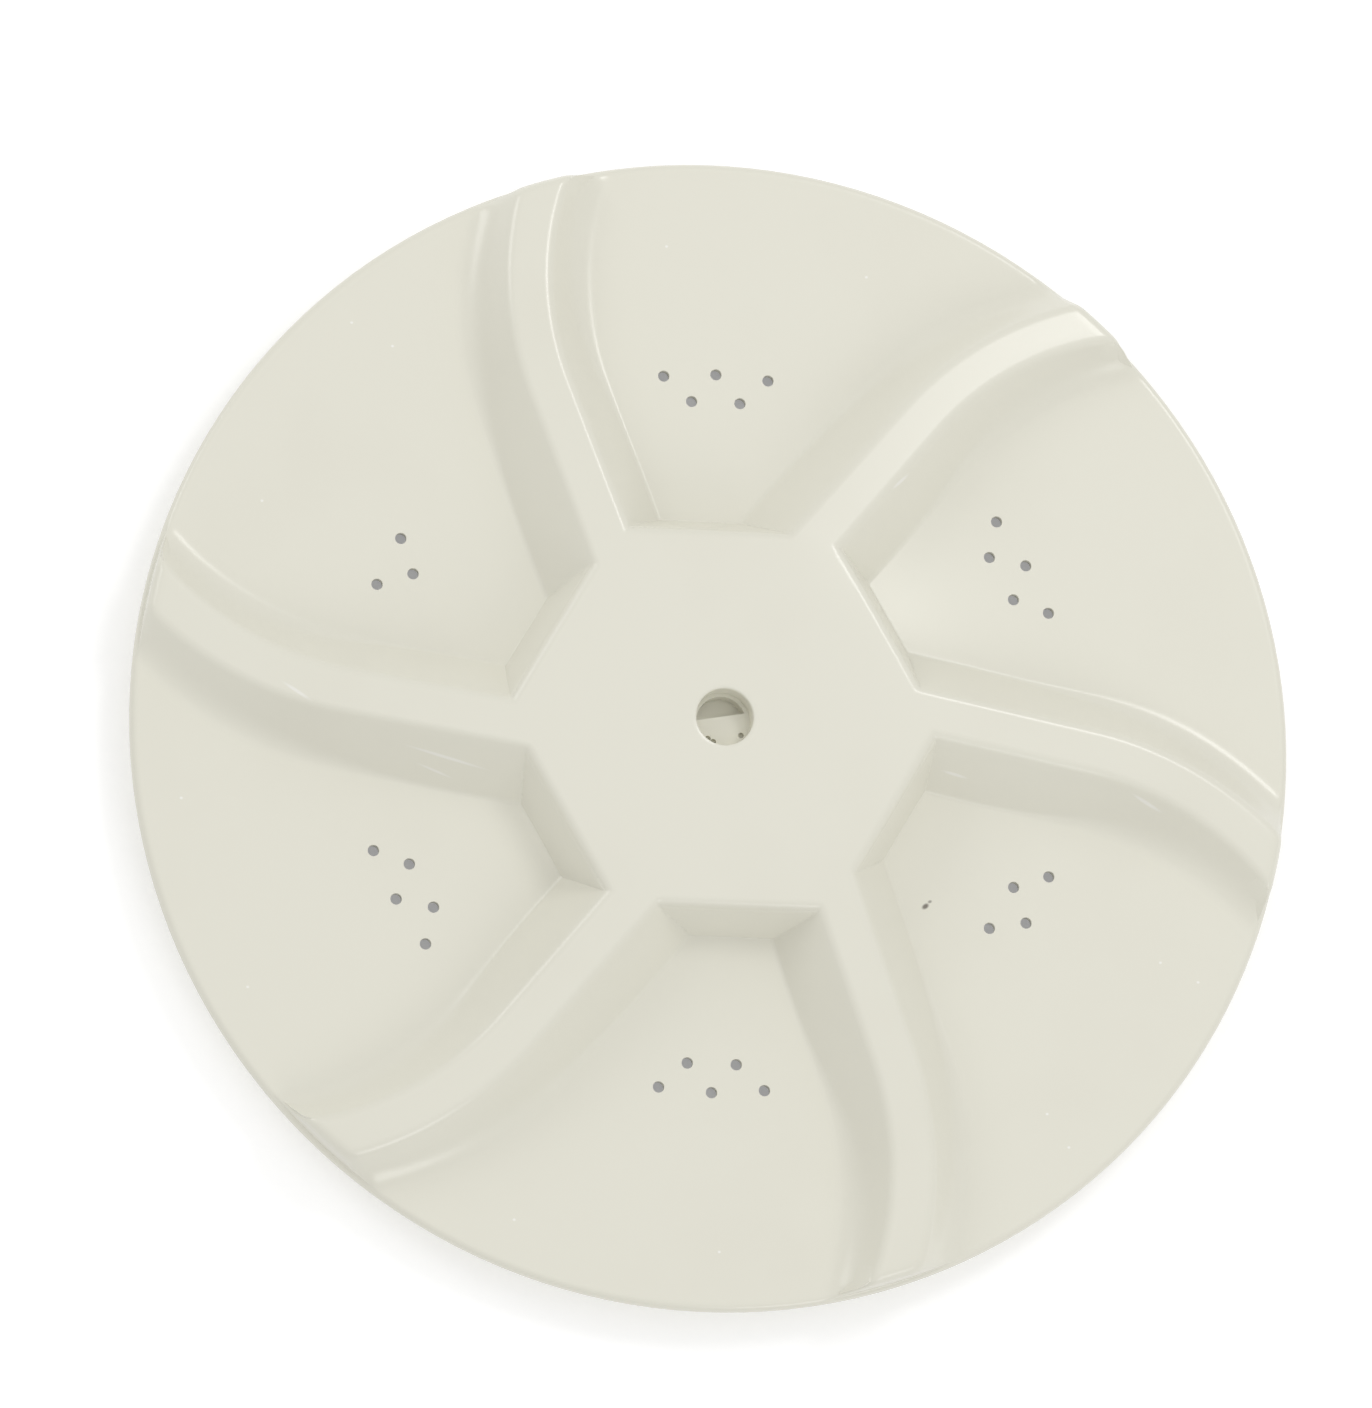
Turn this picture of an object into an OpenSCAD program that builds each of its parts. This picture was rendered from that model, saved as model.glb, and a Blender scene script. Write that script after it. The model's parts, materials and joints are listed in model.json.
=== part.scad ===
// Pulsator of a top-loading washing machine, moulded in one piece.
// A thin dished disc carries six hollow vanes that run out from a six-sided
// hub and bend the same way near the rim. Under it are a skirt, a serrated
// shaft boss, and a web of ribs. Z = 0 is the plane that the skirt rests on.

/* [Disc] */
// Diameter of the widest circle of the rim
disc_d = 345; // [335:1:360]
// Height of the widest circle above the plane the skirt rests on
rim_h = 12; // [10:0.5:16]
// Thickness of the disc, hub and vane walls
wall_t = 2.6; // [2:0.1:3.2]
// Radius at which the dish is lowest
dish_low_r = 110; // [100:1:125]
// Height of the dish above the widest circle, where it is lowest
dish_low_h = 1.5; // [1:0.1:3]
// Rise of the dish from its lowest ring to the foot of the hub
dish_hub_rise = 3; // [2:0.1:5]
// Rise of the dish from its lowest ring to the rim
dish_rim_rise = 1; // [0.5:0.1:2]
// Radius of the rounded upper edge of the rim
rim_round = 2.2; // [1.5:0.1:2.6]
// Thickness of the rim lip
lip_t = 3; // [2.6:0.1:4]

/* [Vanes] */
// Direction of the first vane, in degrees from the X axis
vane_az = 48; // [0:1:59]
// Distance by which a vane's centre line passes beside the axis
vane_offset = 14; // [10:0.5:17]
// Distance from the axis at which the vanes start to bend
vane_bend_y = 110; // [95:1:120]
// Radius of the bend of a vane's centre line
vane_bend_r = 100; // [90:1:130]
// Height of the crest above the widest circle, 100 mm from the axis
crest_h = 17.5; // [15:0.5:19]
// Fall of the crest towards the rim, in degrees
crest_fall = 4.7; // [3:0.1:5.5]
// Width of the crest between its two sharp shoulder lines
crest_w = 12; // [11:0.5:14]
// Radius of the rounded shoulders
crest_round = 4; // [3.4:0.1:4.6]
// Angle of the flanks from the horizontal, in degrees
flank_angle = 50; // [46:1:56]
// Distance of a vane's outer end from the widest circle
vane_end_gap = 1.2; // [0.8:0.1:2]
// Radius of the rounded upper edge of a vane's outer end
vane_end_round = 3; // [2:0.1:4]

/* [Hub] */
// Height of the hub's centre above the widest circle
hub_h = 21.8; // [20:0.1:24]
// Fall of the domed hub over the first 50 mm from the axis
hub_dome = 0.4; // [0.2:0.1:1]
// Direction of the first hub wall, in degrees from the X axis
hub_face_az = 27.6; // [20:0.1:35]
// Distance from the axis to the foot of each hub wall
hub_foot_a = 62.5; // [60:0.5:66]
// Lean of the hub walls from the vertical, in degrees
hub_lean = 21; // [15:1:25]
// Radius of the rounded upper edge of the hub walls
hub_round = 3; // [2:0.1:4]

/* [Centre recess] */
// Diameter of the recess in the hub
recess_d = 17; // [15:0.5:19]
// Depth of the recess
recess_depth = 7; // [5:0.5:8]
// Diameter of the half-moon well in the floor of the recess
well_d = 14.8; // [13:0.1:14.9]
// Depth of the well below the floor
well_depth = 4.5; // [3:0.5:5]
// Distance of the well's straight side from the axis
well_chord = 1.4; // [0.5:0.1:3]
// Direction that the well lies in, in degrees from the X axis
well_az = 98; // [60:1:120]
// Diameter of the three pin marks in the floor
pin_mark_d = 1.7; // [1:0.1:2]
// Depth of the pin marks
pin_mark_depth = 1.6; // [1:0.1:2.5]

/* [Drain holes] */
// Diameter of a drain hole
drain_d = 3.5; // [3:0.1:4.5]
// Radius of the outer row of drain holes
drain_outer_r = 108; // [105:0.5:112]
// Radius of the inner row of drain holes
drain_inner_r = 99.75; // [97:0.25:101]
// Angle between a hole of one row and the next hole of the other
drain_step = 4.17; // [3.9:0.01:4.4]

/* [Shaft boss] */
// Outer diameter of the boss
boss_d = 40; // [34:1:46]
// Height of the boss's lower face above the rest plane
boss_h = 2; // [1.5:0.5:5]
// Diameter of the plain bore below the serrations
pilot_d = 13.2; // [12.8:0.1:14]
// Length of the plain bore
pilot_len = 8; // [6:0.5:10]
// Number of serrations in the socket
spline_teeth = 11; // [9:1:15]
// Diameter over the roots of the serrations
spline_root_d = 12.4; // [11.8:0.1:12.7]
// Depth of a serration
spline_depth = 1; // [0.7:0.1:1.2]
// Length of the serrated socket
spline_len = 9; // [7:0.5:10]
// Width of the bevel at the mouth of the plain bore
pilot_bevel = 1; // [0.5:0.1:1.5]

/* [Skirt and ribs] */
// Distance of the skirt's outer face from the widest circle
skirt_inset = 5; // [4:0.5:8]
// Thickness of the skirt
skirt_t = 2.4; // [2:0.1:3]
// Thickness of the ribs
rib_t = 2; // [1.6:0.1:2.4]
// Height of the ribs' lower edge above the rest plane
rib_gap = 3; // [2:0.5:5]
// Angle of the radial ribs from the middle of a bay, in degrees
rib_spread = 12.5; // [11:0.1:13.5]
// Distance of the ring ribs from the rows of drain holes
ring_clear = 12; // [8:0.5:14]

/* [Hidden] */
$fn = 96;

// Drain holes of each bay, as steps from the middle of the bay. Even steps
// lie in the outer row, odd steps in the inner row.
drain_bays = [
    [-2, -1, 0, 1, 2],
    [-2, -1, 0, 1, 2],
    [0, 1, 2],
    [-2, -1, 0, 1, 2],
    [-2, -1, 0, 1, 2],
    [-1, 0, 1, 2],
];
vane_count = len(drain_bays);
pitch = 360 / vane_count;

// Distance and direction of the three pin marks in the recess floor
pin_marks = [[6.6, 231], [6.6, 247], [7.1, 324]];

arc_steps = 4;
bend_steps = 9;
dish_steps = 4;
dome_steps = 8;
sink = 0.05;
overlap = 0.5;
beyond = 30;

rim_r = disc_d / 2;
lip_z = rim_h - lip_t + dish_low_h + dish_rim_rise;
skirt_r = rim_r - skirt_inset;
skirt_in_r = skirt_r - skirt_t;
end_r = rim_r - vane_end_gap;

// The crest's height is given here, and it falls and rises from here
crest_ref_y = 100;
crest_z = rim_h + crest_h;
vane_start_y = 36;
hollow_start_y = 52;
vane_bend_angle = 52;
vane_depth = 24;

dome_ref_r = 50;
hub_z = rim_h + hub_h;
hub_base_z = rim_h - 3;
hub_reach = 2 * hub_foot_a;
hub_disc_r = hub_foot_a / cos(pitch / 2) + hub_round;
floor_z = hub_z - recess_depth;
well_z = floor_z - well_depth;

ring_ribs = [
    drain_inner_r - ring_clear,
    drain_outer_r + ring_clear,
    (drain_outer_r + ring_clear + skirt_in_r) / 2,
];

// Height of the dish's upper face at radius r
function dish_z(r) =
    let (reach = r < dish_low_r ? dish_low_r - hub_foot_a : rim_r - dish_low_r,
         rise = r < dish_low_r ? dish_hub_rise : dish_rim_rise,
         share = (r - dish_low_r) / reach)
    rim_h + dish_low_h + rise * share * share;

// Height of a vane's crest at a distance y from the axis
function crest_at(y) = crest_z - (y - crest_ref_y) * tan(crest_fall);

// Height of the hub's upper face at radius r: a low dome, which falls with
// the crests of the vanes where they meet it
function dome_z(r) =
    min(hub_z - hub_dome * r * r / (dome_ref_r * dome_ref_r), crest_at(r));

// Points of the hub's upper face from radius a to radius b, lowered by drop
function dome_line(a, b, drop = 0) =
    [for (i = [0 : dome_steps])
        let (r = a + (b - a) * i / dome_steps)
        [r, dome_z(r) - drop]];

// Points of the dish's upper face from radius a to radius b, lowered by drop
function dish_line(a, b, drop = 0) =
    [for (i = [0 : dish_steps])
        let (r = a + (b - a) * i / dish_steps)
        [r, dish_z(r) - drop]];

// Points of an arc about c from angle a to angle b
function arc(c, r, a, b, steps = arc_steps) =
    [for (i = [0 : steps])
        let (t = a + (b - a) * i / steps)
        [c[0] + r * cos(t), c[1] + r * sin(t)]];

// Points of a vane's section, with its crest at height 0, set in by a wall
function vane_section(inset, steps) =
    let (turn = tan(flank_angle / 2),
         round_r = crest_round - inset,
         centre_x = crest_w / 2 - crest_round * turn,
         foot_x = crest_w / 2 - inset * turn
             + (vane_depth - inset) / tan(flank_angle))
    concat([[-foot_x, -vane_depth]],
           arc([-centre_x, -crest_round], round_r, 90 + flank_angle, 90, steps),
           arc([centre_x, -crest_round], round_r, 90, 90 - flank_angle, steps),
           [[foot_x, -vane_depth]]);

// Stations along a vane's centre line: place and turn of each section
function vane_path(start_y) = concat(
    [[-vane_offset, start_y - crest_ref_y, 0]],
    [for (i = [0 : bend_steps])
        let (t = vane_bend_angle * i / bend_steps)
        [vane_bend_r * (1 - cos(t)) - vane_offset,
         vane_bend_y - crest_ref_y + vane_bend_r * sin(t), t]]);

// A closed skin through rows of points, one row for each station
module skin(rows) {
    n = len(rows[0]);
    m = len(rows);
    points = [for (row = rows) each row];
    sides = [for (j = [0 : m - 2], i = [0 : n - 1])
        let (k = (i + 1) % n)
        [j * n + i, (j + 1) * n + i, (j + 1) * n + k, j * n + k]];
    first = [for (i = [0 : n - 1]) i];
    last = [for (i = [n - 1 : -1 : 0]) (m - 1) * n + i];
    polyhedron(points, concat(sides, [first, last]), convexity = 4);
}

// One vane: a straight bar beside the radius, then a bend to the rim
module vane_sweep(inset, start_y, steps) {
    section = vane_section(inset, steps);
    translate([0, crest_ref_y, crest_z])
    rotate([-crest_fall, 0, 0])
    skin([for (s = vane_path(start_y))
        [for (p = section)
            [s[0] + p[0] * cos(s[2]), s[1] - p[0] * sin(s[2]), p[1]]]]);
}

// The six vanes, turned to their places
module each_vane() {
    for (k = [0 : vane_count - 1])
        rotate([0, 0, vane_az - 90 + k * pitch])
        children();
}

// What the vanes are trimmed to: the hub's dome at one end, and round ends
// above the lip at the other
module vane_limit() {
    rotate_extrude()
    polygon(concat(
        [[0, rib_gap], [skirt_in_r + overlap, rib_gap],
         [skirt_in_r + overlap, lip_z + overlap], [end_r, lip_z + overlap]],
        arc([end_r - vane_end_round, crest_at(end_r) - vane_end_round],
            vane_end_round, 0, 86),
        [[crest_ref_y, crest_z + beyond], [hub_foot_a, crest_z + beyond]],
        dome_line(dome_ref_r, 0, sink)));
}

// The hub: a dome with six leaning walls, set in by a wall thickness
module hub_form(inset) {
    wall_a = hub_foot_a - inset / cos(hub_lean);
    foot_z = dish_z(hub_foot_a);
    top_z = dome_z(hub_foot_a) - inset;
    top_a = wall_a - (top_z - foot_z) * tan(hub_lean);
    round_r = hub_round - inset / 2;
    low_a = wall_a + (foot_z - hub_base_z + 1) * tan(hub_lean);
    turn = tan((90 - hub_lean) / 2);
    centre = [top_a - round_r * turn, top_z - round_r];
    difference() {
        rotate_extrude()
        polygon(concat([[0, hub_base_z]], dome_line(0, hub_disc_r, inset),
                       [[hub_disc_r, hub_base_z]]));
        for (k = [0 : vane_count - 1])
            rotate([0, 0, hub_face_az + k * pitch])
            rotate([90, 0, 0])
            linear_extrude(height = hub_reach, center = true)
            polygon(concat(
                [[low_a, hub_base_z - 1]],
                arc(centre, round_r, hub_lean, 90),
                [[top_a - hub_round, top_z + beyond],
                 [hub_reach, top_z + beyond], [hub_reach, hub_base_z - 1]]));
    }
}

// The outer form before it is hollowed: disc, rim, skirt, hub and vanes
module outer_form() {
    rotate_extrude()
    polygon(concat(
        [[0, 0], [skirt_r, 0], [skirt_r, lip_z],
         [rim_r - (rim_h - lip_z), lip_z], [rim_r, rim_h]],
        arc([rim_r - rim_round, dish_z(rim_r - rim_round) - rim_round],
            rim_round, 20, 90),
        dish_line(rim_r - 2 * rim_round, dish_low_r),
        dish_line(dish_low_r - dish_steps, hub_foot_a),
        [[0, dish_z(hub_foot_a)]]));
    hub_form(0);
    intersection() {
        each_vane() vane_sweep(0, vane_start_y, arc_steps);
        vane_limit();
    }
}

// What is hollow below the disc, the hub and the vanes
module hollow_form() {
    rotate_extrude()
    polygon(concat(
        [[0, -1], [skirt_in_r, -1]],
        dish_line(skirt_in_r, dish_low_r, wall_t),
        dish_line(dish_low_r - dish_steps, hub_foot_a, wall_t),
        [[0, dish_z(hub_foot_a) - wall_t]]));
    hub_form(wall_t);
    intersection() {
        each_vane() vane_sweep(wall_t, hollow_start_y, 1);
        cylinder(r = skirt_in_r, h = hub_z + beyond);
    }
}

// One radial rib, from the boss to the skirt
module radial_rib() {
    reach = 1 / cos(rib_spread);
    half = wall_t / 2;
    foot_a = (hub_foot_a - half) * reach;
    top_z = dome_z(hub_foot_a) - half;
    top_a = foot_a - (top_z - dish_z(hub_foot_a)) * tan(hub_lean) * reach;
    rotate([90, 0, 0])
    linear_extrude(height = rib_t, center = true)
    polygon(concat(
        [[boss_d / 2 - 1, rib_gap], [skirt_in_r + overlap, rib_gap]],
        dish_line(skirt_in_r + overlap, dish_low_r, half),
        dish_line(dish_low_r - dish_steps, foot_a, half),
        [[top_a, top_z - hub_round], [top_a - hub_round, top_z],
         [boss_d / 2 - 1, top_z]]));
}

// One ring rib, up to the underside of the disc
module ring_rib(r) {
    rotate_extrude()
    polygon([
        [r - rib_t / 2, rib_gap], [r + rib_t / 2, rib_gap],
        [r + rib_t / 2, dish_z(r) - wall_t / 2],
        [r - rib_t / 2, dish_z(r) - wall_t / 2]]);
}

// All the ribs of the underside
module ribs() {
    for (k = [0 : vane_count - 1], side = [-1, 1])
        rotate([0, 0, hub_face_az + k * pitch + side * rib_spread])
        radial_rib();
    for (r = ring_ribs)
        ring_rib(r);
}

// The shaft boss, solid before its bores are cut
module boss() {
    translate([0, 0, boss_h])
    cylinder(d = boss_d, h = dome_z(boss_d / 2) - wall_t / 2 - boss_h);
}

// The serrated socket with its plain bore and bevelled mouth
module shaft_socket() {
    root_r = spline_root_d / 2;
    translate([0, 0, boss_h - 1])
    cylinder(d = pilot_d, h = pilot_len + 1);
    translate([0, 0, boss_h - overlap])
    cylinder(r1 = pilot_d / 2 + pilot_bevel + overlap, r2 = pilot_d / 2,
             h = pilot_bevel + overlap);
    translate([0, 0, boss_h + pilot_len - overlap])
    linear_extrude(height = spline_len + overlap)
    polygon([for (i = [0 : 2 * spline_teeth - 1])
        let (r = root_r - (i % 2) * spline_depth, t = i * 180 / spline_teeth)
        [r * cos(t), r * sin(t)]]);
}

// The recess in the hub, with a half-moon well and pin marks in its floor
module centre_recess() {
    translate([0, 0, floor_z])
    cylinder(d = recess_d, h = recess_depth + 1);
    intersection() {
        translate([0, 0, well_z])
        cylinder(d = well_d, h = well_depth + 1);
        rotate([0, 0, well_az])
        translate([well_chord, -well_d, well_z - 1])
        cube([well_d, 2 * well_d, well_depth + 3]);
    }
    for (m = pin_marks)
        rotate([0, 0, m[1]])
        translate([m[0], 0, floor_z - pin_mark_depth])
        cylinder(d = pin_mark_d, h = pin_mark_depth + 1, $fn = 24);
}

// The drain holes, in two rows across the middle of each bay
module drain_holes() {
    for (k = [0 : vane_count - 1], step = drain_bays[k])
        rotate([0, 0, hub_face_az + k * pitch + step * drain_step])
        translate([step % 2 == 0 ? drain_outer_r : drain_inner_r, 0, 0])
        translate([0, 0, rib_gap])
        cylinder(d = drain_d, h = rim_h + beyond, $fn = 32);
}

module pulsator() {
    color([0.90, 0.89, 0.84])
    difference() {
        union() {
            difference() {
                outer_form();
                hollow_form();
            }
            ribs();
            boss();
        }
        centre_recess();
        shaft_socket();
        drain_holes();
    }
}

pulsator();
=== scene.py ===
"""Washing machine pulsator: a glossy ivory moulding with six curved vanes, seen from above.

Laid out as a Blender add-on and run as a script: each operator makes one stage of the scene.
"""

import json
import math

import bpy
from bpy.props import FloatProperty, FloatVectorProperty, PointerProperty
from mathutils import Matrix, Vector

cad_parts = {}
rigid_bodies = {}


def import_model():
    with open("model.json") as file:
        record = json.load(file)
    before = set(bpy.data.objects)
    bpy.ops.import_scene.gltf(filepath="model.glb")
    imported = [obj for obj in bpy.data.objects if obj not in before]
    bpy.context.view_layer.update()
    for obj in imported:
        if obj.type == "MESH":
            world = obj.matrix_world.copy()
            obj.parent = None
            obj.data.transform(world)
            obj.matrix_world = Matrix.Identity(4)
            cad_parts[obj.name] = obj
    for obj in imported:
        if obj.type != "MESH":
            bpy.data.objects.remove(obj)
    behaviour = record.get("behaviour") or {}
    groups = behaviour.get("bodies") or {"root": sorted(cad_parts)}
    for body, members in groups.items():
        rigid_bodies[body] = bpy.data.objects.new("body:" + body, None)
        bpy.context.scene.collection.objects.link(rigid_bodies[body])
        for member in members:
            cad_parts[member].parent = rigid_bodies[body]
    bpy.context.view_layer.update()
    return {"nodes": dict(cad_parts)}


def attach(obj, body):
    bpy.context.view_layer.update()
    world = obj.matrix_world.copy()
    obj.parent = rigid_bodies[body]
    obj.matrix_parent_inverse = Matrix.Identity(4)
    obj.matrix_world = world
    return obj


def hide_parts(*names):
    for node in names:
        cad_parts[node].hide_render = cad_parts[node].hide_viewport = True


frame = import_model()

bl_info = {
    "name": "Washing Machine Pulsator",
    "version": (1, 0, 0),
    "blender": (4, 5, 0),
    "location": "View3D > Sidebar > Pulsator",
    "description": "Dresses the pulsator and builds its light, floor and camera",
    "category": "Object",
}

NODE = "pulsator"
LONG_SIDE_PX = 1408
SENSOR_WIDTH = 36.0
MM = 1000.0
VANES = 6
PITCH = 2 * math.pi / VANES
HALF_PITCH = PITCH / 2
DRAIN_BAYS = ((-2, -1, 0, 1, 2), (-2, -1, 0, 1, 2), (0, 1, 2), (-2, -1, 0, 1, 2), (-2, -1, 0, 1, 2), (-1, 0, 1, 2))


INSIDE_GAP = 0.05  # mm by which the skin's holes are narrower than the solid's
DRAIN_SIDES = 32

# How finely the skin is divided
BAY_STEPS = 20
FLAT_STEPS, ARC_STEPS, FLANK_STEPS, FILLET_STEPS = 2, 5, 8, 8
PATH_FROM, PATH_STEPS = 30.0, 190  # a vane's line is followed from here in steps of 1 mm
FOOT_TURNS = (-30.8, 4.8)  # degrees from a vane's axis to its feet at the hub
FILLET_REACH = 1.15  # share of a foot's fill that the fine columns cover
END_TURNS = (0, 15, 30, 45, 60, 75, 90)
RIM_TURNS = (42, 54, 64, 73, 82, 90)
EDGE_STEP = 0.002  # mm between the top and the foot of a vane's upright end
MOUTH_ROWS = ((0, 1.6), (0, 0.5), (0.07, 0.3), (0.2, 0.12), (0.45, 0.0))  # wider and lower, in mm

# How the copied solid gives way to the skin, in mm
SINK = 0.6
RIM_SINK = 0.4
SINK_BAND = 0.35

# Lamps: name, turn and height in degrees, distance and width in metres, watts
LAMPS = (
    ("key", 45, 52, 1.9, 0.55, 5.5),
    ("overhead", 60, 84, 2.2, 1.6, 2.0),
    ("south", 292, 30, 2.4, 1.0, 7.0),
    ("west", 140, 30, 2.4, 1.0, 7.0),
)
WORLD_LEVEL = 0.68
FLOOR_GREY = 0.86
FLOOR_LIFT = 0.30
FLOOR_GAP = 0.0002  # metres below the skirt, so that the two faces don't share a plane

MOTTLE_SCALE = 22
MOTTLE_DETAIL = 4
MOTTLE_RANGE = (0.5, 0.85)
MOTTLE_STRENGTH = 0.07
# Near-white colour of the pale specks: painted glints, that is painted highlights, not lamp light
SPECK_GLINT_PAINT = (0.93, 0.92, 0.88)
SCUFF_PAINT = (0.90, 0.89, 0.85)
MARK_EDGE = (1.0, 0.3)  # share of a mark's size where it begins and where it is full

# Marks as (x, y, length, width) in mm, turn in degrees, and strength
# Pale specks near the rim: small painted highlights (painted glints)
SPECK_GLINTS = tuple(
    (x, y, 1.3, 1.1, 0, 0.8)
    for x, y in (
        (-140, -76), (-64, -145), (-4, -155), (-158, -20), (-92, 116), (-104, 123), (-132, 69),
        (51, 138), (-9, 147), (131, -70), (142, -76), (95, -115), (101, -125),
    )
)
SCUFFS = (
    (56, 72, 9, 1.2, 42, 0.6),
    (-81, -10, 30, 1.0, -17, 0.6),
    (-84, -13, 14, 0.8, -22, 0.5),
    (-125, 9, 12, 1.4, -35, 0.6),
    (70, -15, 10, 1.0, -15, 0.6),
    (127, -24, 13, 1.2, -30, 0.6),
)
NICKS = ((61, -53, 3.2, 2.0, 35, 0.85), (62.4, -51.6, 1.8, 1.2, 20, 0.6))


class PulsatorSettings(bpy.types.PropertyGroup):
    """Sizes, colours and places that the operators read."""

    ivory: FloatVectorProperty(
        name="Ivory", description="Colour of the moulding", subtype="COLOR", size=3, default=(0.79, 0.775, 0.675)
    )
    stain: FloatVectorProperty(
        name="Stain", description="Colour of the faint mottle", subtype="COLOR", size=3, default=(0.55, 0.50, 0.40)
    )
    # Dark colour painted over the nick; the mesh has no dent there
    dirt: FloatVectorProperty(
        name="Nick Dark", description="Colour in the nick", subtype="COLOR", size=3,
        default=(0.12, 0.10, 0.08),
    )
    gloss: FloatProperty(
        name="Gloss", description="Roughness of the polished plastic", default=0.24, min=0, max=1
    )
    merge: FloatProperty(
        name="Merge Distance", description="Vertices closer than this are one", default=0.00001, unit="LENGTH"
    )
    sharp: FloatProperty(
        name="Sharp Angle", description="Edges that bend by less are shaded smooth", default=math.radians(38),
        subtype="ANGLE",
    )
    ground: FloatProperty(
        name="Ground", description="Width of the floor", default=8.0, unit="LENGTH"
    )
    view_pitch: FloatProperty(
        name="View Pitch", description="Camera turn about X", default=0.2123, subtype="ANGLE"
    )
    view_roll: FloatProperty(
        name="View Roll", description="Camera turn about Y", default=-0.1658, subtype="ANGLE"
    )
    view_side: FloatProperty(
        name="View Side", description="Part right of the picture's centre", default=0.0079182, unit="LENGTH"
    )
    view_drop: FloatProperty(
        name="View Drop", description="Part below the picture's centre", default=0.0082251, unit="LENGTH"
    )
    view_distance: FloatProperty(
        name="View Distance", description="Camera to the rim's plane", default=2.9423751, unit="LENGTH"
    )
    view_rim: FloatProperty(
        name="Rim Height", description="Height of the widest circle", default=0.012, unit="LENGTH"
    )
    focal_px: FloatProperty(
        name="Focal Length", description="In pixels of the picture", default=10000.0
    )
    disc_width: FloatProperty(
        name="Disc Width", description="Across the rim", default=0.345, unit="LENGTH"
    )
    rim_top: FloatProperty(
        name="Rim Top", description="Height of the disc at the rim", default=0.0145, unit="LENGTH"
    )
    rim_round: FloatProperty(
        name="Rim Round", description="Rounding of the rim", default=0.0022, unit="LENGTH"
    )
    lip_bottom: FloatProperty(
        name="Lip Bottom", description="Underside of the rim", default=0.0115, unit="LENGTH"
    )
    low_radius: FloatProperty(
        name="Low Radius", description="Where the dish is lowest", default=0.110, unit="LENGTH"
    )
    low_height: FloatProperty(
        name="Low Height", description="Lowest height of the dish", default=0.0135, unit="LENGTH"
    )
    hub_rise: FloatProperty(
        name="Hub Rise", description="Rise of the dish to the hub", default=0.003, unit="LENGTH"
    )
    hub_foot: FloatProperty(
        name="Hub Foot", description="Hub wall's foot to the axis", default=0.0625, unit="LENGTH"
    )
    hub_top: FloatProperty(
        name="Hub Top", description="Height of the hub", default=0.0338, unit="LENGTH"
    )
    hub_round: FloatProperty(
        name="Hub Round", description="Rounding of the hub's edge", default=0.003, unit="LENGTH"
    )
    hub_lean: FloatProperty(
        name="Hub Lean", description="Lean of its walls", default=math.radians(21), subtype="ANGLE"
    )
    dome_fall: FloatProperty(
        name="Dome Fall", description="Fall of the hub's dome", default=0.0004, unit="LENGTH"
    )
    dome_reach: FloatProperty(
        name="Dome Reach", description="Radius of that fall", default=0.050, unit="LENGTH"
    )
    dome_blend: FloatProperty(
        name="Dome Blend", description="Fill between dome and crests", default=0.0006, unit="LENGTH"
    )
    crest_height: FloatProperty(
        name="Crest Height", description="Height of the crest", default=0.0295, unit="LENGTH"
    )
    crest_place: FloatProperty(
        name="Crest Place", description="Where it is so high", default=0.100, unit="LENGTH"
    )
    crest_width: FloatProperty(
        name="Crest Width", description="Width of the crest", default=0.012, unit="LENGTH"
    )
    crest_round: FloatProperty(
        name="Crest Round", description="Rounding of its edges", default=0.004, unit="LENGTH"
    )
    crest_fall: FloatProperty(
        name="Crest Fall", description="Fall to the rim", default=math.radians(4.7), subtype="ANGLE"
    )
    flank: FloatProperty(
        name="Flank", description="Slope of the flanks", default=math.radians(50), subtype="ANGLE"
    )
    vane_offset: FloatProperty(
        name="Vane Offset", description="Vane beside the axis", default=0.014, unit="LENGTH"
    )
    bend_start: FloatProperty(
        name="Bend Start", description="Where a vane bends", default=0.110, unit="LENGTH"
    )
    bend_radius: FloatProperty(
        name="Bend Radius", description="Radius of the bend", default=0.100, unit="LENGTH"
    )
    vane_end: FloatProperty(
        name="Vane End", description="Radius of a vane's end", default=0.1713, unit="LENGTH"
    )
    vane_end_round: FloatProperty(
        name="End Round", description="Rounding of that end", default=0.003, unit="LENGTH"
    )
    vane_turn: FloatProperty(
        name="Vane Turn", description="First vane", default=math.radians(48), subtype="ANGLE"
    )
    face_turn: FloatProperty(
        name="Face Turn", description="First hub wall", default=math.radians(27.6), subtype="ANGLE"
    )
    fillet_near: FloatProperty(
        name="Near Fillet", description="Foot's fill by the hub", default=0.0009, unit="LENGTH"
    )
    fillet_far: FloatProperty(
        name="Far Fillet", description="Foot's fill by the rim", default=0.0055, unit="LENGTH"
    )
    skin_thickness: FloatProperty(
        name="Skin", description="Thickness of the skin", default=0.001, unit="LENGTH"
    )
    recess_width: FloatProperty(
        name="Recess Width", description="Mouth of the recess", default=0.017, unit="LENGTH"
    )
    drain_width: FloatProperty(
        name="Drain Width", description="Width of a drain hole", default=0.0035, unit="LENGTH"
    )
    drain_outer: FloatProperty(
        name="Outer Drains", description="Radius of the outer row", default=0.108, unit="LENGTH"
    )
    drain_inner: FloatProperty(
        name="Inner Drains", description="Radius of the inner row", default=0.09975, unit="LENGTH"
    )
    drain_step: FloatProperty(
        name="Drain Step", description="Turn between holes", default=math.radians(4.17), subtype="ANGLE"
    )

    def is_length(self, name):
        return self.bl_rna.properties[name].unit == "LENGTH"


def settings():
    return bpy.context.scene.pulsator


def only(*objects):
    """Selects these objects alone; the first is the active one."""
    bpy.ops.object.select_all(action="DESELECT")
    for item in objects:
        item.select_set(True)
    bpy.context.view_layer.objects.active = objects[0]


def link(tree, source, target):
    tree.links.new(source, target)


def node(tree, kind, **values):
    made = tree.nodes.new(kind)
    for name, value in values.items():
        setattr(made, name, value)
    return made


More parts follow.
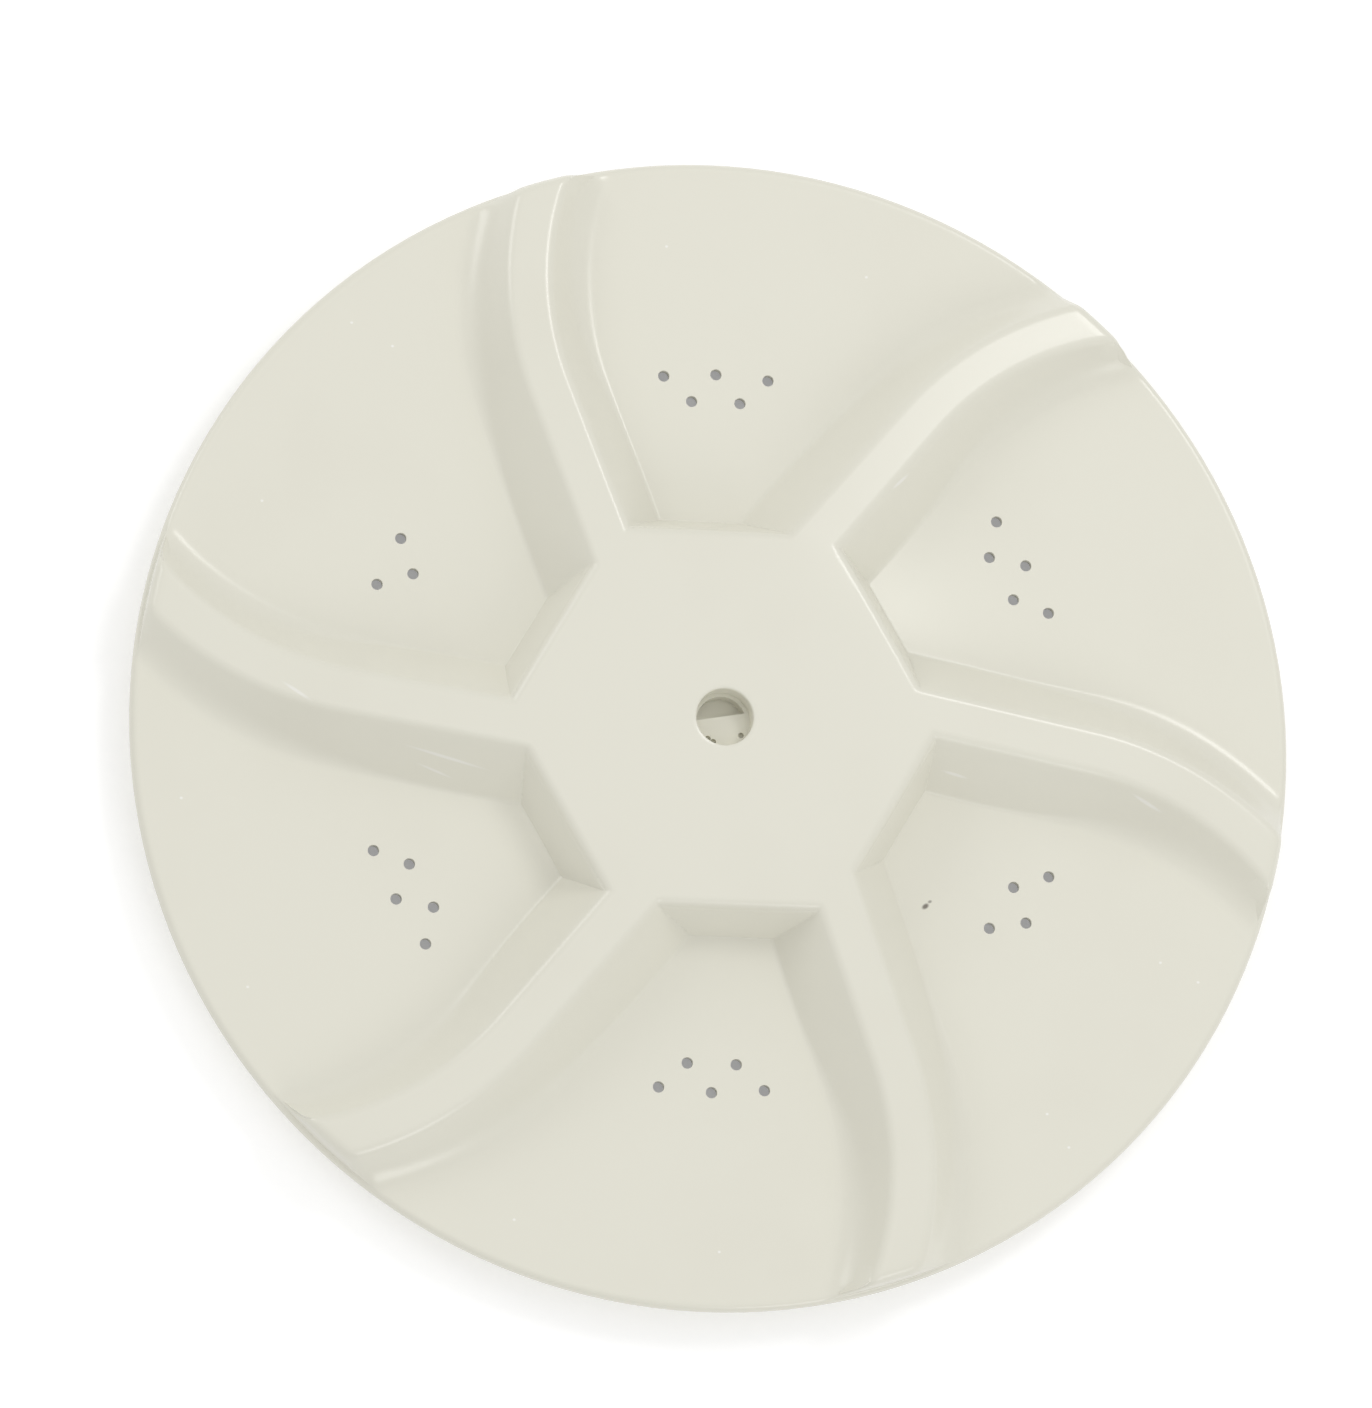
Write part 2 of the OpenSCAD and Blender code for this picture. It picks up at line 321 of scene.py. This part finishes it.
def shape_of(s):
    """The moulding's lengths in millimetres."""
    return {name: getattr(s, name) * MM for name in s.__annotations__ if s.is_length(name)}


def eased(value, low, high):
    """0 below low, 1 above high, smooth between."""
    t = min(max((value - low) / (high - low), 0.0), 1.0)
    return t * t * (3 - 2 * t)


def edge_drop(past, slope, radius):
    """Fall of a rounded edge between a level top and a slope, at a distance past the edge."""
    lead = radius * math.tan(slope / 2)
    if past <= -lead:
        return 0.0
    if past <= radius * math.sin(slope) - lead:
        return math.sqrt(radius**2 - (past + lead) ** 2) - radius
    return -past * math.tan(slope)


def blend_max(a, b, width):
    """The higher of two surfaces, with the corner between them filled."""
    gap = max(width - abs(a - b), 0.0)
    return max(a, b) + (gap * gap / (4 * width) if width > 0 else 0.0)


class Form:
    """The upper surface of the moulding, in millimetres; turns are clockwise from a vane's axis."""

    def __init__(self, s):
        m = shape_of(s)
        self.rim_r = m["disc_width"] / 2
        self.rim_round = m["rim_round"]
        self.rim_top = m["rim_top"]
        self.low_r = m["low_radius"]
        self.low_z = m["low_height"]
        self.hub_rise = m["hub_rise"]
        self.foot_r = m["hub_foot"]
        self.hub_top = m["hub_top"]
        self.dome = m["dome_fall"]
        self.dome_r = m["dome_reach"]
        self.dome_blend = m["dome_blend"]
        self.hub_round = m["hub_round"]
        self.crest_top = m["crest_height"]
        self.crest_y = m["crest_place"]
        self.crest_half = m["crest_width"] / 2
        self.crest_round = m["crest_round"]
        self.offset = m["vane_offset"]
        self.bend_y = m["bend_start"]
        self.bend_r = m["bend_radius"]
        self.end_r = m["vane_end"]
        self.end_round = m["vane_end_round"]
        self.fillet_in = m["fillet_near"]
        self.fillet_out = m["fillet_far"]
        self.lip_z = m["lip_bottom"]
        self.mouth_r = m["recess_width"] / 2 - 0.5
        self.flank = s.flank
        self.vane_around = s.vane_turn
        self.fall = math.tan(s.crest_fall)
        self.wall = math.pi / 2 - s.hub_lean
        self.face = s.vane_turn - s.face_turn
        self.edge_r = self.foot_r - (self.hub_top - self.low_z - self.hub_rise) * math.tan(s.hub_lean)

    def dish(self, r):
        inside = r < self.low_r
        reach = self.low_r - self.foot_r if inside else self.rim_r - self.low_r
        rise = self.hub_rise if inside else self.rim_top - self.low_z
        z = self.low_z + rise * ((r - self.low_r) / reach) ** 2
        past = r - (self.rim_r - self.rim_round)
        if past > 0:
            z += math.sqrt(max(self.rim_round**2 - past**2, 0.0)) - self.rim_round
        return z

    def crest(self, y):
        return self.crest_top - (y - self.crest_y) * self.fall

    def dome_at(self, r):
        """The hub's dome, which runs on into the falling crests without an edge."""
        dome = self.hub_top - self.dome * (r / self.dome_r) ** 2
        return -blend_max(-dome, -self.crest(r), self.dome_blend)

    def across(self, x, y):
        """Distance of a point from the vane's centreline, to the clockwise side."""
        if y <= self.bend_y:
            return x + self.offset
        centre = self.bend_r - self.offset
        return self.bend_r - math.hypot(centre - x, y - self.bend_y)

    def on_path(self, s, u):
        if s <= self.bend_y:
            return u - self.offset, s
        t = (s - self.bend_y) / self.bend_r
        radius = self.bend_r - u
        return self.bend_r - self.offset - radius * math.cos(t), self.bend_y + radius * math.sin(t)

    def fillet(self, r):
        return self.fillet_in + (self.fillet_out - self.fillet_in) * eased(r, self.low_r * 0.8, self.rim_r * 0.87)

    def vane(self, x, y):
        r = math.hypot(x, y)
        past = abs(self.across(x, y)) - self.crest_half
        z = min(self.crest(y) + edge_drop(past, self.flank, self.crest_round), self.dome_at(r))
        late = r - (self.end_r - self.end_round)
        if late >= self.end_round:
            return -self.rim_top
        if late > 0:
            z += math.sqrt(self.end_round**2 - late**2) - self.end_round
        return z

    def hub(self, x, y):
        r = math.hypot(x, y)
        turn = math.atan2(x, y)
        off = (turn - self.face + HALF_PITCH) % PITCH - HALF_PITCH
        return self.dome_at(r) + edge_drop(r * math.cos(off) - self.edge_r, self.wall, self.hub_round)

    def height(self, x, y, soft=True):
        r = math.hypot(x, y)
        turn = math.atan2(x, y)
        top = self.hub(x, y)
        for step in (-1, 0, 1):
            a = turn - PITCH * (round(turn / PITCH) + step)
            top = max(top, self.vane(r * math.sin(a), r * math.cos(a)))
        return blend_max(top, self.dish(r), self.fillet(r) if soft else 0.0)

    def foot(self, s, side):
        """Distance from the centreline to the vane's foot."""
        u = self.crest_half
        for _ in range(6):
            x, y = self.on_path(s, side * u)
            depth = self.crest(y) - self.dish(min(math.hypot(x, y), self.rim_r - self.rim_round))
            u = self.crest_half + depth / math.tan(self.flank)
        return u


def column_tables(form):
    """For each column across a vane, its turn at each radius."""
    lead = form.crest_round * math.tan(form.flank / 2)
    flat = form.crest_half - lead
    arc = form.crest_round * math.sin(form.flank)
    tables = []
    steps = [("flat", k / FLAT_STEPS) for k in range(FLAT_STEPS + 1)]
    steps += [("arc", k / ARC_STEPS) for k in range(1, ARC_STEPS + 1)]
    steps += [("flank", k / FLANK_STEPS) for k in range(1, FLANK_STEPS)]
    steps += [("fillet", k / FILLET_STEPS) for k in range(FILLET_STEPS + 1)]
    for side in (-1, 1):
        for kind, t in steps[(1 if side > 0 else 0):]:
            table = []
            for k in range(PATH_STEPS):
                s = PATH_FROM + k
                foot = form.foot(s, side)
                x0, y0 = form.on_path(s, side * foot)
                width = FILLET_REACH * form.fillet(math.hypot(x0, y0)) / math.tan(form.flank)
                if kind == "flat":
                    u = flat * t
                elif kind == "arc":
                    u = flat + arc * t
                elif kind == "flank":
                    u = flat + arc + (foot - width - flat - arc) * t
                else:
                    u = foot - width + 2 * width * t
                x, y = form.on_path(s, side * u)
                table.append((math.hypot(x, y), math.atan2(x, y)))
            table.sort()
            tables.append((side, kind, t, table))
    left = [row for row in tables if row[0] < 0]
    right = [row for row in tables if row[0] > 0]
    return [row[3] for row in reversed(left)] + [row[3] for row in right]


def turn_at(table, r):
    low, high = 0, len(table) - 1
    if r <= table[0][0]:
        return table[0][1]
    while high - low > 1:
        mid = (low + high) // 2
        if table[mid][0] <= r:
            low = mid
        else:
            high = mid
    (r0, a0), (r1, a1) = table[low], table[high]
    return a0 + (a1 - a0) * (r - r0) / max(r1 - r0, 1e-6)


def steps_between(low, high, count):
    return [low + (high - low) * k / count for k in range(count)]


def row_radii(form):
    hub = steps_between(form.edge_r - 4, form.foot_r + 2, 26)
    rows = steps_between(10, 48, 12) + steps_between(48, form.edge_r - 4, 4) + hub
    rows += steps_between(form.foot_r + 2, 100, 20) + steps_between(100, form.end_r - form.end_round, 38)
    late = form.end_r - form.end_round
    rows += [late + form.end_round * math.sin(math.radians(a)) for a in END_TURNS]
    rows[-1] -= EDGE_STEP
    rows += [form.end_r + 0.02]
    near = form.rim_r - form.rim_round
    rows += [near + form.rim_round * math.sin(math.radians(a)) for a in RIM_TURNS]
    return rows


def row_bulge(form, turn):
    """How far a row stands out at this turn, so that rows follow the hub's flat walls."""
    low, high = (math.radians(a) for a in FOOT_TURNS)

    def wall(a):
        off = (a - form.face + HALF_PITCH) % PITCH - HALF_PITCH
        return 1 / math.cos(off)

    start = low - (PITCH - (high - low)) / 2
    a = (turn - start) % PITCH + start
    if low < a < high:
        t = (a - low) / (high - low)
        return wall(low) + (wall(high) - wall(low)) * t
    return wall(a)


def sector_grid(form, bay_steps):
    """Rows of (turn, radius) for one vane and the bay after it."""
    tables = column_tables(form)
    hold = form.edge_r - 2
    grid = []
    for w in row_radii(form):
        follow = eased(w, 20, 48) * (1 - eased(w, form.foot_r + 4, 110))
        row = []
        for table in tables:
            r = w
            for _ in range(4):
                a = turn_at(table, max(r, hold))
                r = w * (1 + (row_bulge(form, a) - 1) * follow)
            row.append((a, r))
        first, last = row[0][0], row[-1][0]
        span = PITCH + first - last
        for k in range(1, bay_steps):
            a = last + span * k / bay_steps
            row.append((a, w * (1 + (row_bulge(form, a) - 1) * follow)))
        grid.append(row)
    return grid


def skin_mesh(form, s):
    """A closed skin: the upper surface, and a coarser copy of it a skin's thickness below."""
    grid = sector_grid(form, BAY_STEPS)
    if len(grid[0]) % 2:
        raise ValueError("a sector needs an even number of columns")
    across = len(grid[0]) * VANES
    rows = []
    for row in grid:
        ring = []
        for k in range(VANES):
            for a, r in row:
                turn = a + k * PITCH
                x, y = r * math.sin(a), r * math.cos(a)
                ring.append((turn, r, form.height(x, y)))
        rows.append(ring)
    mouth = form_mouth(form, s, rows[0])
    rows = mouth + rows
    rows.append([(t, r, s.lip_bottom * MM) for t, r, z in rows[-1]])
    if len(rows) % 2 == 0:
        near, far = rows[len(mouth)], rows[len(mouth) + 1]
        between = [tuple((p + q) / 2 for p, q in zip(a, b)) for a, b in zip(near, far)]
        rows.insert(len(mouth) + 1, between)
    points = []
    for ring in rows:
        for turn, r, z in ring:
            around = s.vane_turn - turn
            points.append(Vector((r * math.cos(around), r * math.sin(around), z)) / MM)
    faces = []
    for i in range(len(rows) - 1):
        for j in range(across):
            n = (j + 1) % across
            faces.append((i * across + j, i * across + n, (i + 1) * across + n, (i + 1) * across + j))
    sheet = bpy.data.meshes.new("sheet")
    sheet.from_pydata(points, [], faces)
    normals = [Vector(v.normal) for v in sheet.vertices]
    if normals[len(normals) // 3].z < 0:
        normals = [-n for n in normals]
    below = {}
    for i in range(0, len(rows), 2):
        for j in range(0, across, 2):
            at = i * across + j
            below[(i // 2, j // 2)] = len(points)
            inner = points[at] - normals[at] * s.skin_thickness
            points.append(inner)
    half = across // 2
    for i in range(len(rows) // 2):
        for j in range(half):
            n = (j + 1) % half
            faces.append((below[(i, j)], below[(i + 1, j)], below[(i + 1, n)], below[(i, n)]))
    for ring, under in ((0, 0), (len(rows) - 1, len(rows) // 2)):
        for j in range(half):
            n = (j + 1) % half
            a, b, c = ring * across + 2 * j, ring * across + 2 * j + 1, ring * across + (2 * j + 2) % across
            d, e = below[(under, j)], below[(under, n)]
            if ring:
                faces += [(b, a, d), (b, d, e), (c, b, e)]
            else:
                faces += [(a, b, d), (b, e, d), (b, c, e)]
    bpy.data.meshes.remove(sheet)
    mesh = bpy.data.meshes.new("skin")
    mesh.from_pydata(points, [], faces)
    return mesh


def form_mouth(form, s, ring):
    """Rows of the recess's rounded mouth and the top of its wall."""
    wall = s.recess_width * MM / 2 - INSIDE_GAP
    rows = []
    for wider, lower in MOUTH_ROWS:
        r = wall + wider
        rows.append([(turn, r, form.dome_at(r) - lower) for turn, _, _ in ring])
    return rows


def drain_cutter(s):
    """One object with a rod for each drain hole."""
    rods = []
    for bay, steps in enumerate(DRAIN_BAYS):
        for step in steps:
            around = s.face_turn + PITCH * bay + step * s.drain_step
            r = s.drain_inner if step % 2 else s.drain_outer
            place = (r * math.cos(around), r * math.sin(around), s.low_height)
            bpy.ops.mesh.primitive_cylinder_add(
                vertices=DRAIN_SIDES,
                radius=s.drain_width / 2 - INSIDE_GAP / MM,
                depth=s.low_height * 2,
                location=place,
            )
            rods.append(bpy.context.object)
    only(*rods)
    bpy.ops.object.join()
    return bpy.context.object


def narrow_to(vertex, r, amount):
    """Moves a vertex at radius r towards the axis."""
    vertex.co.x *= 1 - amount / r
    vertex.co.y *= 1 - amount / r


def sink_solid(solid, form):
    """Takes the copied solid's upper surface a little inwards, to lie inside the skin."""
    for vertex in solid.data.vertices:
        x, y, z = vertex.co * MM
        r = math.hypot(x, y)
        around = math.atan2(y, x)
        turn = form_turn(form, around)
        level = form.height(r * math.sin(turn), r * math.cos(turn), soft=False) if r < form.rim_r - 0.01 else 0.0
        if r < form.mouth_r:
            continue
        if r > form.rim_r - form.rim_round and z > form.lip_z - 0.5:
            narrow_to(vertex, r, SINK)
            vertex.co.z -= RIM_SINK / MM if z > form.lip_z + 0.5 else 0.0
        elif z > level - SINK_BAND and z > form.lip_z + 0.5:
            vertex.co.z -= SINK / MM
            if r > form.end_r - form.end_round - 1:
                narrow_to(vertex, r, SINK)


def form_turn(form, around):
    return (form.vane_around - around + HALF_PITCH) % PITCH - HALF_PITCH


def mark_group(marks):
    """A mask of oval marks on the upper surface, each (x, y, length, width) in mm, its turn and its strength."""
    tree = bpy.data.node_groups.new("surface_marks", "ShaderNodeTree")
    tree.interface.new_socket("Place", in_out="INPUT", socket_type="NodeSocketVector")
    tree.interface.new_socket("Mask", in_out="OUTPUT", socket_type="NodeSocketFloat")
    start = node(tree, "NodeGroupInput")
    flat = node(tree, "ShaderNodeVectorMath", operation="MULTIPLY")
    flat.inputs[1].default_value = (1, 1, 0)
    link(tree, start.outputs["Place"], flat.inputs[0])
    total = None
    for x, y, length, width, turn, strength in marks:
        oval = node(tree, "ShaderNodeMapping", vector_type="TEXTURE")
        oval.inputs["Location"].default_value = (x / MM, y / MM, 0)
        oval.inputs["Rotation"].default_value = (0, 0, math.radians(turn))
        oval.inputs["Scale"].default_value = (length / 2 / MM, width / 2 / MM, 1)
        link(tree, flat.outputs[0], oval.inputs["Vector"])
        reach = node(tree, "ShaderNodeVectorMath", operation="LENGTH")
        link(tree, oval.outputs[0], reach.inputs[0])
        mask = node(tree, "ShaderNodeMapRange", interpolation_type="SMOOTHSTEP")
        mask.inputs["From Min"].default_value = MARK_EDGE[0]
        mask.inputs["From Max"].default_value = MARK_EDGE[1]
        mask.inputs["To Max"].default_value = strength
        link(tree, reach.outputs["Value"], mask.inputs["Value"])
        if total is None:
            total = mask.outputs["Result"]
        else:
            both = node(tree, "ShaderNodeMath", operation="MAXIMUM")
            link(tree, total, both.inputs[0])
            link(tree, mask.outputs["Result"], both.inputs[1])
            total = both.outputs[0]
    geometry = node(tree, "ShaderNodeNewGeometry")
    facing = node(tree, "ShaderNodeSeparateXYZ")
    link(tree, geometry.outputs["Normal"], facing.inputs[0])
    upward = node(tree, "ShaderNodeMath", operation="GREATER_THAN")
    upward.inputs[1].default_value = 0.0
    link(tree, facing.outputs["Z"], upward.inputs[0])
    upper = node(tree, "ShaderNodeMath", operation="MULTIPLY")
    link(tree, total, upper.inputs[0])
    link(tree, upward.outputs[0], upper.inputs[1])
    end = node(tree, "NodeGroupOutput")
    link(tree, upper.outputs[0], end.inputs["Mask"])
    return tree


def plastic_material(s):
    """Glossy ivory plastic with a faint mottle, pale specks painted as glints (painted highlights), scuffs, and
    one nick painted dark.
    """
    material = bpy.data.materials.new("ivory_plastic_worn_with_painted_glints")
    material.use_nodes = True
    tree = material.node_tree
    shader = tree.nodes["Principled BSDF"]
    place = node(tree, "ShaderNodeTexCoord")
    cloud = node(tree, "ShaderNodeTexNoise")
    cloud.inputs["Scale"].default_value = MOTTLE_SCALE
    cloud.inputs["Detail"].default_value = MOTTLE_DETAIL
    link(tree, place.outputs["Object"], cloud.inputs["Vector"])
    amount = node(tree, "ShaderNodeMapRange")
    amount.inputs["From Min"].default_value = MOTTLE_RANGE[0]
    amount.inputs["From Max"].default_value = MOTTLE_RANGE[1]
    amount.inputs["To Max"].default_value = MOTTLE_STRENGTH
    link(tree, cloud.outputs["Fac"], amount.inputs["Value"])
    tint = node(tree, "ShaderNodeMix", data_type="RGBA")
    tint.inputs["A"].default_value = (*s.ivory, 1)
    tint.inputs["B"].default_value = (*s.stain, 1)
    link(tree, amount.outputs["Result"], tint.inputs["Factor"])
    shader.inputs["Roughness"].default_value = s.gloss
    shader.inputs["IOR"].default_value = 1.5
    colour = tint.outputs["Result"]
    # The specks paint glints (painted highlights), the scuffs paint wear, and the nick is painted dark
    for marks, paint in ((SPECK_GLINTS, SPECK_GLINT_PAINT), (SCUFFS, SCUFF_PAINT), (NICKS, s.dirt)):
        group = node(tree, "ShaderNodeGroup", node_tree=mark_group(marks))
        link(tree, place.outputs["Object"], group.inputs["Place"])
        over = node(tree, "ShaderNodeMix", data_type="RGBA")
        over.inputs["B"].default_value = (*paint, 1)
        link(tree, group.outputs["Mask"], over.inputs["Factor"])
        link(tree, colour, over.inputs["A"])
        colour = over.outputs["Result"]
    link(tree, colour, shader.inputs["Base Color"])
    return material


class PULSATOR_OT_moulding(bpy.types.Operator):
    """Makes the visible moulding from the part's own surface"""

    bl_idname = "pulsator.moulding"
    bl_label = "Make Moulding"

    def execute(self, context):
        s = settings()
        source = frame["nodes"][NODE]
        only(source)
        bpy.ops.object.duplicate()
        moulding = context.view_layer.objects.active
        moulding.name = "moulding"
        if moulding.parent:
            bpy.ops.object.parent_clear(type="CLEAR_KEEP_TRANSFORM")
        only(moulding)
        bpy.ops.object.mode_set(mode="EDIT")
        bpy.ops.mesh.select_all(action="SELECT")
        bpy.ops.mesh.remove_doubles(threshold=s.merge)
        bpy.ops.mesh.customdata_custom_splitnormals_clear()
        bpy.ops.mesh.normals_make_consistent(inside=False)
        bpy.ops.object.mode_set(mode="OBJECT")
        form = Form(s)
        sink_solid(moulding, form)
        skin = bpy.data.objects.new("skin", skin_mesh(form, s))
        context.collection.objects.link(skin)
        only(skin)
        bpy.ops.object.mode_set(mode="EDIT")
        bpy.ops.mesh.select_all(action="SELECT")
        bpy.ops.mesh.normals_make_consistent(inside=False)
        bpy.ops.object.mode_set(mode="OBJECT")
        cutter = drain_cutter(s)
        only(skin)
        cut = skin.modifiers.new("drains", "BOOLEAN")
        cut.object = cutter
        cut.solver = "EXACT"
        bpy.ops.object.modifier_apply(modifier="drains")
        bpy.data.objects.remove(cutter)
        only(moulding, skin)
        bpy.ops.object.join()
        bpy.ops.object.shade_smooth_by_angle(angle=s.sharp)
        moulding.data.materials.clear()
        moulding.data.materials.append(plastic_material(s))
        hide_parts(NODE)
        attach(moulding, "root")
        return {"FINISHED"}


def floor_material():
    """White to the camera, with the part's shadow kept, and clear from below."""
    material = bpy.data.materials.new("studio_floor")
    material.use_nodes = True
    tree = material.node_tree
    tree.nodes.clear()
    out = node(tree, "ShaderNodeOutputMaterial")
    matt = node(tree, "ShaderNodeBsdfDiffuse")
    matt.inputs["Color"].default_value = (FLOOR_GREY, FLOOR_GREY, FLOOR_GREY, 1)
    lift = node(tree, "ShaderNodeEmission")
    ray = node(tree, "ShaderNodeLightPath")
    seen = node(tree, "ShaderNodeMath", operation="MAXIMUM")
    link(tree, ray.outputs["Is Camera Ray"], seen.inputs[0])
    link(tree, ray.outputs["Is Glossy Ray"], seen.inputs[1])
    level = node(tree, "ShaderNodeMath", operation="MULTIPLY")
    level.inputs[1].default_value = FLOOR_LIFT
    link(tree, seen.outputs[0], level.inputs[0])
    link(tree, level.outputs[0], lift.inputs["Strength"])
    both = node(tree, "ShaderNodeAddShader")
    link(tree, matt.outputs[0], both.inputs[0])
    link(tree, lift.outputs[0], both.inputs[1])
    side = node(tree, "ShaderNodeNewGeometry")
    clear = node(tree, "ShaderNodeBsdfTransparent")
    choice = node(tree, "ShaderNodeMixShader")
    link(tree, side.outputs["Backfacing"], choice.inputs["Fac"])
    link(tree, both.outputs[0], choice.inputs[1])
    link(tree, clear.outputs[0], choice.inputs[2])
    link(tree, choice.outputs[0], out.inputs["Surface"])
    return material


class PULSATOR_OT_studio(bpy.types.Operator):
    """Lays the floor and hangs the soft lamps"""

    bl_idname = "pulsator.studio"
    bl_label = "Build Studio"

    def execute(self, context):
        s = settings()
        bpy.ops.mesh.primitive_plane_add(size=s.ground, location=(0, 0, -FLOOR_GAP))
        floor = context.object
        floor.name = "studio_floor"
        floor.data.materials.append(floor_material())
        for name, around, up, away, size, watts in LAMPS:
            around = math.radians(around)
            up = math.radians(up)
            place = Vector((math.cos(around) * math.cos(up), math.sin(around) * math.cos(up), math.sin(up))) * away
            bpy.ops.object.light_add(type="AREA", location=place)
            lamp = context.object
            lamp.name = name
            lamp.data.shape = "DISK"
            lamp.data.size = size
            lamp.data.energy = watts
            lamp.rotation_euler = place.to_track_quat("Z", "Y").to_euler()
        world = bpy.data.worlds.new("studio_world")
        world.use_nodes = True
        world.node_tree.nodes["Background"].inputs["Color"].default_value = (1, 1, 1, 1)
        world.node_tree.nodes["Background"].inputs["Strength"].default_value = WORLD_LEVEL
        context.scene.world = world
        context.scene.view_settings.view_transform = "Standard"
        return {"FINISHED"}


class PULSATOR_OT_camera(bpy.types.Operator):
    """Places the camera that sees the part as the photograph does"""

    bl_idname = "pulsator.camera"
    bl_label = "Place Camera"

    def execute(self, context):
        s = settings()
        turn = Matrix.Rotation(s.view_pitch, 3, "X") @ Matrix.Rotation(s.view_roll, 3, "Y")
        place = turn @ Vector((-s.view_side, s.view_drop, s.view_distance)) + Vector((0, 0, s.view_rim))
        data = bpy.data.cameras.new("camera")
        data.sensor_width = SENSOR_WIDTH
        data.lens = s.focal_px * SENSOR_WIDTH / LONG_SIDE_PX
        data.clip_end = 50
        camera = bpy.data.objects.new("camera", data)
        camera.matrix_world = Matrix.Translation(place) @ turn.to_4x4()
        context.scene.collection.objects.link(camera)
        context.scene.camera = camera
        return {"FINISHED"}


class PULSATOR_PT_panel(bpy.types.Panel):
    """Buttons for each stage"""

    bl_idname = "PULSATOR_PT_panel"
    bl_label = "Pulsator"
    bl_space_type = "VIEW_3D"
    bl_region_type = "UI"
    bl_category = "Pulsator"

    def draw(self, context):
        for stage in STAGES:
            self.layout.operator(stage.bl_idname)


STAGES = (PULSATOR_OT_moulding, PULSATOR_OT_studio, PULSATOR_OT_camera)
CLASSES = (PulsatorSettings, *STAGES, PULSATOR_PT_panel)


def register():
    for item in CLASSES:
        bpy.utils.register_class(item)
    bpy.types.Scene.pulsator = PointerProperty(type=PulsatorSettings)


def unregister():
    del bpy.types.Scene.pulsator
    for item in reversed(CLASSES):
        bpy.utils.unregister_class(item)


def main():
    register()
    bpy.ops.pulsator.moulding()
    bpy.ops.pulsator.studio()
    bpy.ops.pulsator.camera()


if __name__ == "__main__":
    main()
